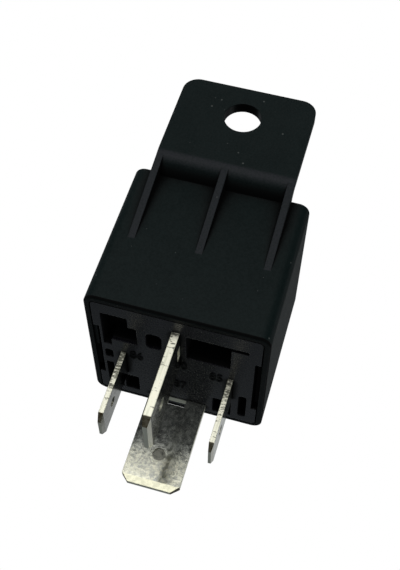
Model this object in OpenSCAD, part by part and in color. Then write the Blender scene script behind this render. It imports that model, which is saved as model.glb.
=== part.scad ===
// Four-terminal plug-in relay for vehicles, with a screw bracket moulded on its case.
//
// Lengths are in millimetres. The origin is the centre of the bracket hole, on the face of the
// bracket that meets the panel. +Z points up, away from the terminals, +Y from the bracket into the
// case, and +X across the case. The pieces are drawn from the socket face: z = 0 is the open rim of
// the case and y = 0 its middle, and from_hole() moves them to the origin.

/* [Case] */
// Width of the case
case_w = 28.2; // [27.8:0.2:32]
// Depth of the case, from the bracket side to the front
case_d = 28.2; // [27.8:0.2:32]
// Height of the case above the socket face
case_h = 25.3; // [24.9:0.1:29]
// Thickness of the side walls
wall = 0.9; // [0.7:0.05:1]
// Thickness of the roof
roof = 0.9; // [0.7:0.1:1.3]
// Rounding of the four standing edges
edge_r = 1.8; // [1.5:0.1:2.6]
// Rounding of the edges around the roof
top_r = 0.5; // [0.4:0.1:1.5]
// Rounding of the outer edge of the open rim
rim_r = 0.3; // [0.2:0.05:0.5]

/* [Bracket] */
// Width of the bracket
tab_w = 22.1; // [18:0.1:24]
// Thickness of the bracket
tab_t = 1.85; // [1.5:0.05:2.2]
// Height of the bracket's end above the socket face
tab_top = 43.6; // [42:0.1:50]
// Distance from the case's rear wall to the bracket's panel face
tab_offset = 2.7; // [2.4:0.1:3.2]
// Rounding of the bracket's two corners
tab_corner_r = 2.6; // [1:0.1:5]
// Diameter of the bracket hole
hole_d = 6; // [4.2:0.1:6.6]
// Height of the bracket hole above the socket face
hole_h = 37.3; // [35:0.1:38]
// Radius of the bend between bracket and case
bend_r = 3.5; // [3.3:0.1:4.5]
// Distance from the case's top down to the foot of the bend
bend_drop = 0.9; // [0.6:0.1:1.4]
// Fillet between the bracket and the roof
root_fillet = 1.5; // [0.8:0.1:1.6]
// Thickness of the three gussets
gusset_t = 1.1; // [0.8:0.1:1.6]
// Height above the socket face at which the gussets run out
gusset_foot = 11.7; // [6:0.1:16]

/* [Base] */
// Thickness of the base
base_h = 4.6; // [4.2:0.1:5]
// Gap between the base and the case wall
base_gap = 0.2; // [0.1:0.05:0.3]
// Depth of the moulded pockets in the socket face
pocket_depth = 3.4; // [2:0.1:3.6]
// Land between the pockets and the base's edge
edge_land = 1.3; // [1.1:0.1:1.6]
// Land between the pockets and the terminals
blade_land = 0.9; // [0.7:0.1:1.1]
// Width of the latch slots at the base's sides
latch_slot_w = 0.9; // [0.6:0.1:1.1]
// Length of the latch slots
latch_slot_l = 14.4; // [10:0.1:16]
// Depth of the latch slots
latch_slot_h = 2.9; // [2.6:0.1:3.2]

/* [Terminals] */
// Width of the two load terminals
power_w = 9.4; // [7.6:0.1:9.6]
// Thickness of the two load terminals
power_t = 1.2; // [1:0.05:1.3]
// Free length of terminal 30
len_30 = 15; // [13:0.1:17]
// Free length of terminal 87
len_87 = 15.8; // [13:0.1:17]
// Width of the two coil terminals
coil_w = 6.3; // [4.8:0.1:6.3]
// Thickness of the two coil terminals
coil_t = 0.8; // [0.6:0.05:0.9]
// Free length of the coil terminals
coil_len = 11.9; // [10:0.1:13]
// Distance of the coil terminals from the middle of the case
coil_x = 8.6; // [8.4:0.1:9]
// Place of the coil terminals' rear edge, from the middle of the case
coil_y = -0.1; // [-1:0.1:0.4]
// Distance from the case's front to terminal 87's front face
front_87 = 1.9; // [1.7:0.1:2.1]
// Distance from the case's rear wall to terminal 30's rear edge
rear_30 = 4; // [3.8:0.1:4.3]
// Diameter of the detent dimples in the load terminals
power_dimple_d = 2.1; // [1.6:0.1:2.6]
// Distance of the dimples in the load terminals from the blades' ends
power_dimple_up = 5.6; // [4:0.1:7]
// Diameter of the detent dimples in the coil terminals
coil_dimple_d = 1.7; // [1.2:0.1:2]
// Distance of the dimples in the coil terminals from the blades' ends
coil_dimple_up = 4.8; // [4:0.1:6]

/* [Magnet] */
// Thickness of the yoke's sheet
yoke_t = 1.8; // [1.5:0.1:2]
// Width of the yoke
yoke_w = 13; // [11:0.2:13.4]
// Distance from the case's rear wall to the yoke's back
yoke_clear = 4.7; // [4.6:0.1:4.9]
// Reach of the core's pole disc past the core
pole_reach = 1.4; // [0.8:0.1:1.8]
// Thickness of the core's pole disc
pole_t = 1.2; // [0.8:0.1:1.5]
// Height of the bobbin
bobbin_h = 12.2; // [10:0.1:12.4]
// Width of the bobbin's flanges
flange_w = 14.2; // [13.4:0.2:14.2]
// Thickness of the bobbin's flanges
flange_t = 1.1; // [0.8:0.1:1.4]
// Reach of the flanges past the winding
flange_reach = 0.7; // [0.4:0.1:1.2]
// Core's diameter as a share of the winding's
core_share = 0.5; // [0.42:0.01:0.56]
// Thickness of the armature
armature_t = 1.5; // [1.2:0.1:1.6]
// Opening angle of the armature at rest
rest_angle = 3; // [2:0.1:3.4]

/* [Contacts] */
// Diameter of the fixed contact
fixed_d = 3.8; // [3:0.1:4]
// Height of the fixed contact's head
fixed_h = 0.9; // [0.6:0.1:1.1]
// Diameter of the moving contact
moving_d = 3.6; // [3:0.1:3.8]
// Height of the moving contact's head
moving_h = 1; // [0.8:0.1:1.1]
// Thickness of the contact spring
leaf_t = 0.3; // [0.2:0.05:0.4]
// Diameter of the braided lead
braid_d = 1.6; // [1.2:0.1:1.8]

/* [Return spring] */
// Outer diameter of the return spring
spring_d = 2.2; // [1.8:0.1:2.4]
// Diameter of the return spring's wire
spring_wire = 0.3; // [0.2:0.05:0.3]
// Number of turns of the return spring
spring_turns = 15; // [8:1:18]

/* [Suppression resistor] */
// Diameter of the resistor's body
resistor_d = 2.3; // [1.8:0.1:2.5]
// Length of the resistor's body
resistor_l = 6.3; // [5:0.1:7]
// Diameter of the resistor's leads
lead_d = 0.5; // [0.4:0.05:0.6]

/* [Hidden] */

$fn = 48;
cut = 1;            // how far a cut runs past the face it opens
fit_gap = 0.05;     // clearance around what is pressed or staked in place
seat_gap = 0.02;    // clearance between faces that bear on each other

moulded_black = "#1b1c1e";
base_black = "#222124";
tin = "#b9b6a8";
steel = "#8f9296";
copper = "#b26a3c";
bronze = "#b58a50";
silver = "#cfd2d4";
nylon = "#d8d3c4";
enamel = "#8c3b1c";

// Case and bracket
rear_y = -case_d / 2;
tab_y = rear_y - tab_offset;
bend_z = case_h - bend_drop + bend_r * sin(acos(1 - tab_offset / bend_r));
ceiling = case_h - roof;
inner_r = 0.5;      // rounding of the edges inside the roof
stop_w = 1.2;       // side of the ribs in the corners of the case
latch_bar_t = latch_slot_w / 2 + base_gap;
latch_bar_z = 0.3;  // height of the latch bars' lower side above the socket face
latch_bar_end = 2.2; // distance between the front ends of a latch bar and of its slot

// Base
base_w = case_w - 2 * (wall + base_gap);
base_d = case_d - 2 * (wall + base_gap);
base_r = edge_r - wall - base_gap;
slot_gap = 0.05;    // clearance around a terminal in its slot
shoulder_z = 1.4;   // height of the ledge that terminal 30's shoulder rests on
latch_slot_y = 0.7; // middle of the latch slots
power_x1 = power_t / 2;
y_87 = case_d / 2 - front_87 - power_t;     // terminal 87's rear face
y_30 = rear_y + rear_30;                    // terminal 30's rear edge
side_x = base_w / 2 - edge_land;            // outer edges of the pockets
row_y = coil_y - 3.2;                       // front edges of the pockets behind the coil terminals
rear_land = 3.4;                            // land behind the large pocket
large_y = rear_land - base_d / 2;
narrow_x = -coil_x - 1.75;                  // inner edge of the narrow pockets beside terminal 86
coil_front = coil_y + coil_w + blade_land;  // rear edge of the pockets in front of the coil terminals
front_y = y_87 + 0.6;                       // front edges of the pockets beside terminal 87
small_pocket = [0.2, 2.6];                  // from the coil terminals' rear edge to its two ends
round_pocket_w = 2.5;
round_pocket_l = 4.3;
rib_t = 0.25;                               // thin rib between two pockets
fence_h = 1.3;      // fences beside the yoke's foot
fence_t = 0.8;
fence_l = 10;
fence_y = -1.5;

// Magnet system: heights, from the socket face up
yoke_z = base_h;
bobbin_z = yoke_z + yoke_t;
flange_top = bobbin_z + bobbin_h;
yoke_back = case_d / 2 - yoke_clear;        // from the core's axis to the yoke's back
flange_d = 2 * (yoke_back - yoke_t - 0.5);
winding_d = min(flange_w, flange_d) - 2 * flange_reach;
barrel_t = 0.7;
core_d = core_share * winding_d;
pole_d = core_d + 2 * pole_reach;
stake_d = core_d - 1.4;                     // core's lower end, staked into the yoke
pole_z = flange_top + pole_t;
hinge_r = 0.3;      // rounding of the yoke edge that the armature rocks on
air_gap = 0.05;     // what is left between armature and pole when the relay is closed
armature_z = pole_z + air_gap;
leaf_z = armature_z + armature_t;
hinge = [0, -yoke_back + hinge_r, pole_z - hinge_r];
ear_w = 1.6;
ear_h = 1.1;
ear_x = yoke_w / 2 - ear_w - 0.3;
armature_w = yoke_w - 0.4;
armature_front = y_87 - 5.2;
armature_rear = -yoke_back + yoke_t + 0.35;
neck_w = 2 * (ear_x - 0.2);
back_gap = 0.35;    // from the yoke's back to what passes behind it

// Contacts
contact_y = y_87 - 1.5;
closed_gap = 0.03;  // what is left between the contacts when the armature is flat
arm_z = leaf_z - moving_h - closed_gap - fixed_h;
arm_y = contact_y - fixed_d / 2 - 0.2;
leaf_w = 7.2;
leaf_ends = [armature_rear + 0.35, armature_front - 0.3];   // contact spring's broad part
pad_w = 5.6;
braid_x = case_w / 2 - wall - 2;            // how far the braid swings out beside the bobbin
wing = [2 - braid_x, -2, 1.6];  // contact spring's side wing: outer end, rear edge, front edge
rivet_at = [2.6, armature_rear + 1.65];
rivet_d = 1.8;
rivet_head = [2.8, 0.6];    // diameter and height
rivet_tail = [2.4, 0.4];
contact_shank_d = 1.6;
contact_tail = [2.2, 0.4];  // riveted end of a contact: diameter and height

// Return spring: it hangs between a lug on the yoke's back and one on the armature's tail
spring_x = 4.5;
spring_y = -yoke_back - 1.9;
lug_w = 2.8;
lug_t = 1;
lug_end = 1;                // metal behind the lug's hole
lug_hole_d = 1;
lug_back = spring_y - lug_hole_d / 2 - lug_end;
yoke_lug_z = bobbin_z + 0.6;
lug_drop = (hinge[1] - spring_y) * sin(rest_angle);
upper_lug = [armature_z - lug_drop, leaf_z - lug_drop];     // armature's lug at rest
rings_per_turn = 10;

// Terminals inside the case
dimple_share = 0.2;         // depth of a dimple as a share of the blade's thickness
window_w = 3;
window_z = [-1.35, -0.15];  // lower and upper edge of the locking window
riser_w = 2.2;              // riser of terminal 30, behind the magnet
riser_y = y_30 - riser_w;
riser_top = 13.6;
riser_87_w = 7;
riser_87_r = 0.4;           // inner radius of the bend between the riser and the arm
shoulder_87 = [0.7, 1.6];   // shoulder of terminal 87: reach past the blade and height
post_w = 2.2;
post_z = bobbin_z + 4;
post_y = coil_y + coil_w / 2;
coil_shoulder = 0.4;
coil_shoulder_h = 1.2;

// Coil
turn_pitch = 0.6;
coil_wire = 0.25;
wrap_pitch = 0.32;
wrap_turns = 3;
wrap_z = bobbin_z + 2.6;
cheek_gap = 0.3;            // from the bobbin's cheeks to the posts
cheek_z = [0.5, 2.3];       // lower and upper side of the cheeks, above the yoke's foot

// Tongue behind the yoke, which stops the armature when it opens
tongue_x = [-4.2, -1.6];
tongue_t = 1.2;
tongue_l = 4.5;
// The tongue's end swings towards the yoke as the armature opens
tongue_gap = fit_gap + (tongue_l + hinge_r) * sin(rest_angle);

// Braid from terminal 30's riser, round the yoke's corner and up to the contact spring's wing
braid_seat = [2.9 - braid_x, -0.4];
braid_end = leaf_z + (braid_seat[1] - hinge[1]) * sin(rest_angle) - 0.15;
braid_z = riser_top - 1.2;
braid_points = [
    [-power_x1 - seat_gap, riser_y + riser_w / 2, braid_z],
    [-braid_d * 1.5, riser_y + riser_w / 2, braid_z],
    [braid_x / 2 - braid_x, riser_y + riser_w / 2, braid_z + 0.3],
    [2.4 - braid_x, -yoke_back - 1.2, braid_z + 0.9],
    [0.6 - braid_x, -yoke_back + 0.8, braid_z + 1.8],
    [-braid_x, -yoke_back + 4.2, braid_z + 3.2],
    [0.8 - braid_x, -yoke_back + 7.5, braid_z + 5],
    [2.4 - braid_x, braid_seat[1] - 0.1, braid_end - 2],
    [braid_seat[0], braid_seat[1], braid_end]
];

// Suppression resistor
resistor_y = (flange_d / 2 + y_87) / 2;
resistor_z = base_h + coil_shoulder_h + lead_d / 2 + 0.25;
saddle_x = 4.4;
saddle_w = 1;
saddle_l = 1.6;
saddle_z = resistor_z - lead_d / 2 - seat_gap;

// ---------------------------------------------------------------- shared shapes

// Moves a piece from the socket face to the frame of the bracket hole
module from_hole() {
    translate([0, -tab_y, -hole_h]) children();
}

// Rectangle around the axis with true arcs at its corners
module round_rect(w, d, r) {
    square([w - 2 * r, d], center = true);
    square([w, d - 2 * r], center = true);
    for (x = [-1, 1], y = [-1, 1])
        translate([x * (w / 2 - r), y * (d / 2 - r)]) circle(r);
}

// Rectangle between two corners with rounded corners, pushed up from z0 by h
module round_bar(x0, y0, x1, y1, z0, h, r) {
    translate([(x0 + x1) / 2, (y0 + y1) / 2, z0])
        linear_extrude(h) round_rect(x1 - x0, y1 - y0, r);
}

// Box between two corners
module bar(x0, y0, z0, x1, y1, z1) {
    translate([x0, y0, z0]) cube([x1 - x0, y1 - y0, z1 - z0]);
}

// Upright section of a block, with rounded upper corners and lower corners
module upright_section(w, h, r_up, r_low) {
    translate([-w / 2, r_low]) square([w, h - r_up - r_low]);
    if (w > 2 * r_up) translate([-w / 2 + r_up, h / 2]) square([w - 2 * r_up, h / 2]);
    for (x = [-1, 1]) translate([x * (w / 2 - r_up), h - r_up]) circle(r_up);
    if (r_low > 0) {
        translate([-w / 2 + r_low, 0]) square([w - 2 * r_low, h / 2]);
        for (x = [-1, 1]) translate([x * (w / 2 - r_low), r_low]) circle(r_low);
    }
}

// Block on z = 0 with rounded standing edges, roof edges and rim
module soft_block(w, d, h, r_edge, r_up, r_low) {
    rotate([90, 0, 0]) linear_extrude(d - 2 * r_edge, center = true)
        upright_section(w, h, r_up, r_low);
    rotate([90, 0, 90]) linear_extrude(w - 2 * r_edge, center = true)
        upright_section(d, h, r_up, r_low);
    for (x = [-1, 1], y = [-1, 1])
        translate([x * (w / 2 - r_edge), y * (d / 2 - r_edge), 0]) rotate_extrude()
            intersection() {
                upright_section(2 * r_edge, h, r_up, r_low);
                square([r_edge, h]);
            }
}

// Terminal blade across X, its rear face on y = 0, from z = -len up to z = up. Its end is
// chamfered on both edges and bevelled on both faces.
module blade(w, t, len, up, chamfer, bevel_l, tip_t) {
    intersection() {
        rotate([90, 0, 0]) translate([0, 0, -t]) linear_extrude(t)
            polygon([[-w / 2, up], [w / 2, up], [w / 2, -len + chamfer],
                     [w / 2 - chamfer, -len], [-w / 2 + chamfer, -len],
                     [-w / 2, -len + chamfer]]);
        rotate([90, 0, 90]) linear_extrude(w + cut, center = true)
            polygon([[0, up + cut], [t, up + cut], [t, -len + bevel_l],
                     [(t + tip_t) / 2, -len], [(t - tip_t) / 2, -len], [0, -len + bevel_l]]);
    }
}

// Round hole along Y through something that starts at y = 0
module cross_hole(d, z, through) {
    translate([0, -cut, z]) rotate([-90, 0, 0]) cylinder(d = d, h = through + 2 * cut);
}

// Dimples in both faces of a blade whose rear face is on y = 0
module dimples(d, z, t) {
    depth = dimple_share * t;
    for (y = [-cut, t - depth])
        translate([0, y, z]) rotate([-90, 0, 0]) cylinder(d = d, h = depth + cut);
}

// Turns a blade across X into one across Y whose middle is at [x, y]
module across_y(x, y, t) {
    translate([x + t / 2, y, 0]) rotate([0, 0, 90]) children();
}

// Puts what is drawn with the armature flat into its open rest position
module opened() {
    translate(hinge) rotate([rest_angle, 0, 0]) translate(-hinge) children();
}

function unit(v) = v / norm(v);
function heading(p, i) = unit(p[min(i + 1, len(p) - 1)] - p[max(i - 1, 0)]);
function square_to(n, t) = unit(n - (n * t) * t);
function spline_at(a, b, c, d, t) =
    0.5 * (2 * b + (c - a) * t + (2 * a - 5 * b + 4 * c - d) * t * t
           + (3 * b - a - 3 * c + d) * t * t * t);
// Smooth route through the points p, with n steps from each to the next
function route(p, n) = [
    for (i = [0 : len(p) - 2], k = [0 : n - 1])
        spline_at(p[max(i - 1, 0)], p[i], p[i + 1], p[min(i + 2, len(p) - 1)], k / n),
    p[len(p) - 1]
];
function ring_normals(p, start) = [
    for (i = 0, n = square_to(start, heading(p, 0)); i < len(p);
         i = i + 1, n = i < len(p) ? square_to(n, heading(p, i)) : n) n
];

// Round wire or rope along the points p
module wire(p, d, sides, start = [0, 0, 1]) {
    normals = ring_normals(p, start);
    last = len(p) - 1;
    polyhedron(
        points = [
            for (i = [0 : last], k = [0 : sides - 1])
                let (t = heading(p, i), n = normals[i], a = 360 * k / sides)
                p[i] + d / 2 * (cos(a) * n + sin(a) * cross(t, n))
        ],
        faces = concat(
            [for (i = [0 : last - 1], k = [0 : sides - 1], half = [0, 1])
                let (j = (k + 1) % sides, near = i * sides, far = near + sides)
                half == 0 ? [near + k, far + k, far + j] : [near + k, far + j, near + j]],
            [[for (k = [0 : sides - 1]) k]],
            [[for (k = [sides - 1 : -1 : 0]) last * sides + k]]
        )
    );
}

// ---------------------------------------------------------------- case

// Bracket, bend and fillet, seen along X
module bracket_section() {
    translate([tab_y, bend_z]) square([tab_t, tab_top - bend_z]);
    intersection() {
        translate([tab_y + bend_r, bend_z]) circle(bend_r);
        union() {
            translate([tab_y, case_h]) square([tab_t, bend_z - case_h]);
            translate([tab_y, case_h - bend_r]) square([tab_offset + top_r, bend_r]);
            difference() {
                translate([tab_y + tab_t, case_h]) square(root_fillet);
                translate([tab_y + tab_t + root_fillet, case_h + root_fillet])
                    circle(root_fillet);
            }
        }
    }
}

// Gusset, seen along X: flush with the panel face at the bend, running out on the rear wall
module gusset_section() {
    polygon([[tab_y, bend_z], [rear_y, gusset_foot], [rear_y + wall / 2, gusset_foot],
             [rear_y + wall / 2, case_h - top_r], [tab_y + tab_t / 2, bend_z]]);
}

// Front outline of the bracket
module bracket_outline() {
    translate([-tab_w / 2, 0]) square([tab_w, tab_top - tab_corner_r]);
    translate([-tab_w / 2 + tab_corner_r, 0]) square([tab_w - 2 * tab_corner_r, tab_top]);
    for (x = [-1, 1])
        translate([x * (tab_w / 2 - tab_corner_r), tab_top - tab_corner_r])
            circle(tab_corner_r);
}

module bracket() {
    intersection() {
        rotate([90, 0, 90]) linear_extrude(tab_w, center = true) bracket_section();
        rotate([90, 0, 0]) linear_extrude(case_d) bracket_outline();
    }
    for (x = [-1, 0, 1])
        translate([x * (tab_w - gusset_t) / 2, 0, 0]) rotate([90, 0, 90])
            linear_extrude(gusset_t, center = true) gusset_section();
}

// Snap bars inside the side walls, under the base's shoulders
module latch_bars() {
    half = latch_slot_l / 2;
    for (side = [0, 1]) mirror([side, 0, 0])
        bar(case_w / 2 - wall - latch_bar_t, latch_slot_y - half + 2 * fit_gap, latch_bar_z,
            case_w / 2 - wall + fit_gap, latch_slot_y + half - latch_bar_end,
            latch_slot_h - seat_gap);
}

// Standing ribs in the corners of the case, which stop the base
module corner_stops() {
    for (x = [-1, 1], y = [-1, 1])
        translate([x * (case_w / 2 - wall - stop_w / 2), y * (case_d / 2 - wall - stop_w / 2),
                   (base_h + seat_gap + ceiling) / 2])
            cube([stop_w + 2 * fit_gap, stop_w + 2 * fit_gap, ceiling - base_h - seat_gap],
                 center = true);
}

module cover() {
    color(moulded_black) from_hole() {
        difference() {
            union() {
                soft_block(case_w, case_d, case_h, edge_r, top_r, rim_r);
                bracket();
            }
            translate([0, 0, -cut])
                soft_block(case_w - 2 * wall, case_d - 2 * wall, ceiling + cut,
                           edge_r - wall, inner_r, 0);
            translate([0, tab_y, 0]) cross_hole(hole_d, hole_h, tab_t);
        }
        intersection() {
            union() {
                latch_bars();
                corner_stops();
            }
            soft_block(case_w - wall, case_d - wall, case_h - roof / 2, edge_r - wall / 2,
                       inner_r, inner_r);
        }
    }
}

// ---------------------------------------------------------------- base

// Pocket in the socket face between two corners
module pocket(x0, y0, x1, y1, r = 0.2) {
    round_bar(x0, y0, x1, y1, -cut, pocket_depth + cut, r);
}

module base_pockets() {
    // Stepped pocket behind terminal 86
    pocket(-side_x, large_y - 0.9, 1.1 - coil_x, row_y);
    pocket(-side_x, large_y + 1.6, 2.4 - coil_x, row_y);
    pocket(-side_x, row_y - 1, narrow_x, row_y + 1.7);
    // Small pocket and long slot beside terminal 86
    pocket(-side_x, coil_y + small_pocket[0], narrow_x, coil_y + small_pocket[1], 0.4);
    pocket(-side_x, coil_y + coil_w / 2 + 1.05, narrow_x - 0.15, front_y - 0.2);
    // Pair of pockets in front of terminal 86, parted by a thin rib
    pocket(-coil_x - rib_t - 1.15, coil_front, -coil_x - rib_t * 2, front_y);
    pocket(-coil_x - rib_t, coil_front, 2.15 - coil_x, front_y, 0.3);
    // Rounded pocket beside terminal 30
    round_x = -power_x1 - blade_land - 0.8;
    pocket(round_x - round_pocket_w, row_y - 0.2 - round_pocket_l, round_x, row_y - 0.2, 0.9);
    // Large pocket behind terminal 85, with the slot that leaves its rear corner
    pocket(power_x1 + blade_land, large_y, coil_x - 0.15, row_y);
    pocket(coil_x - 1, large_y, side_x - 0.6, large_y + 0.8, 0.1);
    // Short slot beside terminal 85
    pocket(side_x - 1.7, coil_y + coil_w / 2 + 1.55, side_x - 0.35, front_y - 0.2, 0.5);
    // Pocket in front of terminal 85
    pocket(coil_x - 2.8, coil_front + 0.4, coil_x + 0.3, front_y + 0.6, 0.3);
}

// Slots that the terminals stand in
module base_slots() {
    // Terminal 30, with the wider upper part for its shoulder
    bar(-power_x1 - slot_gap, y_30 - slot_gap, -cut,
        power_x1 + slot_gap, y_30 + power_w + slot_gap, base_h + cut);
    bar(-power_x1 - slot_gap, riser_y - slot_gap, shoulder_z,
        power_x1 + slot_gap, y_30 + power_w + slot_gap, base_h + cut);
    // Terminal 87
    bar(-power_w / 2 - slot_gap, y_87 - slot_gap, -cut,
        power_w / 2 + slot_gap, y_87 + power_t + slot_gap, base_h + cut);
    // Coil terminals
    for (x = [-coil_x, coil_x])
        bar(x - coil_t / 2 - slot_gap, coil_y - slot_gap, -cut,
            x + coil_t / 2 + slot_gap, coil_y + coil_w + slot_gap, base_h + cut);
}

module base() {
    color(base_black) from_hole() {
        difference() {
            linear_extrude(base_h) round_rect(base_w, base_d, base_r);
            base_pockets();
            base_slots();
            for (side = [-1, 1])
                translate([side * base_w / 2, latch_slot_y, (latch_slot_h - cut) / 2])
                    cube([2 * latch_slot_w, latch_slot_l, latch_slot_h + cut], center = true);
        }
        // Fences that keep the yoke in place
        for (x = [-1, 1])
            translate([x * (yoke_w / 2 + fit_gap + fence_t / 2), fence_y, base_h + fence_h / 2])
                cube([fence_t, fence_l, fence_h], center = true);
        // Saddles under the resistor's leads
        for (x = [-saddle_x, saddle_x])
            bar(x - saddle_w / 2, resistor_y - saddle_l / 2, base_h,
                x + saddle_w / 2, resistor_y + saddle_l / 2, saddle_z);
    }
}

// ---------------------------------------------------------------- terminals

// Load terminal: blade with its detent dimples and locking window
module power_blade(len, up) {
    difference() {
        blade(power_w, power_t, len, up, 1.2, 1.1, 0.7);
        dimples(power_dimple_d, power_dimple_up - len, power_t);
        bar(-window_w / 2, -cut, window_z[0], window_w / 2, power_t + cut, window_z[1]);
    }
}

module terminal_30() {
    color(tin) from_hole() {
        across_y(0, y_30 + power_w / 2, power_t) power_blade(len_30, base_h - 0.3);
        bar(-power_x1, riser_y, shoulder_z + seat_gap, power_x1, y_30 + cut, base_h - 0.3);
        bar(-power_x1, riser_y, shoulder_z + cut, power_x1, y_30, riser_top);
    }
}

// Terminal 87 above the base, seen along X: the riser and the arm that carries the contact
module riser_87_section() {
    r = riser_87_r;
    r_out = power_t + r;
    difference() {
        union() {
            translate([y_87, base_h - cut]) square([power_t, arm_z - base_h + cut - r_out]);
            translate([arm_y, arm_z - power_t]) square([y_87 - r - arm_y, power_t]);
            translate([y_87 - r, arm_z - r_out]) circle(r_out);
        }
        translate([arm_y - cut, base_h - 2 * cut])
            square([y_87 - r - arm_y + cut, arm_z - power_t - base_h + 2 * cut]);
        translate([y_87 - r - cut, base_h - 2 * cut])
            square([r + cut, arm_z - r_out - base_h + 2 * cut]);
        translate([y_87 - r, arm_z - r_out]) circle(r);
    }
}

module terminal_87() {
    color(tin) from_hole() difference() {
        union() {
            translate([0, y_87, 0]) power_blade(len_87, base_h + seat_gap);
            bar(-power_w / 2 - shoulder_87[0], y_87, base_h + seat_gap,
                power_w / 2 + shoulder_87[0], y_87 + power_t, base_h + shoulder_87[1]);
            rotate([90, 0, 90]) linear_extrude(riser_87_w, center = true)
                riser_87_section();
        }
        translate([0, contact_y, arm_z - power_t - cut])
            cylinder(d = contact_shank_d + 2 * fit_gap, h = power_t + 2 * cut);
    }
}

// Coil terminal: blade, shoulder on the base, and the post that the coil's wire is wound on
module coil_terminal(x) {
    color(tin) from_hole() across_y(x, post_y, coil_t) {
        difference() {
            blade(coil_w, coil_t, coil_len, base_h + seat_gap, 1.1, 1, 0.45);
            dimples(coil_dimple_d, coil_dimple_up - coil_len, coil_t);
        }
        bar(-coil_w / 2 - coil_shoulder, 0, base_h + seat_gap,
            coil_w / 2 + coil_shoulder, coil_t, base_h + coil_shoulder_h);
        bar(-post_w / 2, 0, base_h + cut, post_w / 2, coil_t, post_z);
    }
}

module terminal_85() {
    coil_terminal(coil_x);
}

module terminal_86() {
    coil_terminal(-coil_x);
}

// ---------------------------------------------------------------- magnet

// Yoke, seen along X: foot under the bobbin, leg up to the edge that the armature rocks on
module yoke_section() {
    r_in = 0.4;
    r_out = yoke_t + r_in;
    foot_front = flange_d / 2 - 0.9;
    translate([-yoke_back + r_out, yoke_z]) square([foot_front + yoke_back - r_out, yoke_t]);
    translate([-yoke_back, yoke_z + r_out])
        square([yoke_t, pole_z - hinge_r - yoke_z - r_out]);
    translate([-yoke_back + hinge_r, pole_z - 2 * hinge_r])
        square([yoke_t - hinge_r, 2 * hinge_r]);
    translate([-yoke_back + hinge_r, pole_z - hinge_r]) circle(hinge_r);
    intersection() {
        difference() {
            translate([-yoke_back + r_out, yoke_z + r_out]) circle(r_out);
            translate([-yoke_back + r_out, yoke_z + r_out]) circle(r_in);
        }
        translate([-yoke_back, yoke_z]) square(r_out);
    }
}

module yoke() {
    color(steel) from_hole() {
        difference() {
            rotate([90, 0, 90]) linear_extrude(yoke_w, center = true) yoke_section();
            translate([0, 0, yoke_z - cut])
                cylinder(d = stake_d + 2 * fit_gap, h = yoke_t + 2 * cut);
        }
        // Ears that keep the armature from sliding sideways
        for (side = [0, 1]) mirror([side, 0, 0])
            bar(ear_x, -yoke_back + hinge_r, pole_z - cut,
                ear_x + ear_w, -yoke_back + yoke_t, pole_z + ear_h);
        // Lug for the lower hook of the return spring
        difference() {
            bar(spring_x - lug_w / 2, lug_back, yoke_lug_z - lug_t,
                spring_x + lug_w / 2, -yoke_back + yoke_t / 2, yoke_lug_z);
            translate([spring_x, spring_y, yoke_lug_z - lug_t - cut])
                cylinder(d = lug_hole_d, h = lug_t + 2 * cut);
        }
    }
}

module core() {
    color(steel) from_hole() {
        translate([0, 0, yoke_z]) cylinder(d = stake_d, h = yoke_t + cut);
        translate([0, 0, bobbin_z]) cylinder(d = core_d, h = bobbin_h + cut / 2);
        translate([0, 0, flange_top + seat_gap])
            cylinder(d = pole_d, h = pole_t - seat_gap);
    }
}

module bobbin() {
    barrel_d = core_d + 2 * (fit_gap + barrel_t);
    cheek_end = coil_x - coil_t / 2 - cheek_gap;
    color(nylon) from_hole() difference() {
        union() {
            for (z = [bobbin_z + seat_gap, flange_top - flange_t])
                translate([0, 0, z]) linear_extrude(flange_t - seat_gap)
                    round_rect(flange_w, flange_d, 1.2);
            translate([0, 0, bobbin_z + seat_gap])
                cylinder(d = barrel_d, h = bobbin_h - 2 * seat_gap);
            // Cheeks beside the posts of the coil terminals
            for (side = [0, 1]) mirror([side, 0, 0])
                bar(flange_w / 2 - cheek_gap, post_y - post_w / 2 - 0.5, bobbin_z + cheek_z[0],
                    cheek_end, post_y + post_w / 2 + 0.5, bobbin_z + cheek_z[1]);
        }
        translate([0, 0, bobbin_z - cut])
            cylinder(d = core_d + 2 * fit_gap, h = bobbin_h + 2 * cut);
    }
}

// Winding: one solid with a groove between each turn of its outer layer and the next
module winding() {
    z0 = bobbin_z + flange_t + seat_gap;
    h = bobbin_h - 2 * flange_t - 2 * seat_gap;
    turns = floor(h / turn_pitch);
    pitch = h / turns;
    r_in = core_d / 2 + fit_gap + barrel_t + fit_gap;
    color(enamel) from_hole() translate([0, 0, z0]) rotate_extrude() {
        translate([r_in, 0]) square([(winding_d - pitch) / 2 - r_in, h]);
        for (i = [0 : turns - 1])
            translate([(winding_d - pitch) / 2, (i + 0.5) * pitch]) circle(d = pitch);
    }
}

// Ends of the coil's wire: from the winding to the terminal post, and round it
module coil_leads() {
    dx = coil_t / 2 + coil_wire / 2 + fit_gap;
    dy = post_w / 2 + coil_wire / 2 + fit_gap;
    corners = [[-dx, -dy], [dx, -dy], [dx, dy], [-dx, dy]];
    wraps = [for (i = [0 : 4 * wrap_turns])
        [coil_x + corners[i % 4][0], post_y + corners[i % 4][1], wrap_z + i * wrap_pitch / 4]];
    start_r = winding_d / 2 + coil_wire / 2 + fit_gap;
    start_a = -25;
    start = [start_r * cos(start_a), start_r * sin(start_a), wrap_z - 0.6];
    lead = route([start, [(start[0] + coil_x - dx) / 2, start[1] + 1.2, wrap_z - 0.4],
                  [coil_x - dx - 0.3, coil_y + 0.5, wrap_z - 0.1]], 3);
    color(copper) from_hole() for (side = [0, 1]) mirror([side, 0, 0])
        wire(concat(lead, wraps), coil_wire, 6);
}

// ---------------------------------------------------------------- armature

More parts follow.
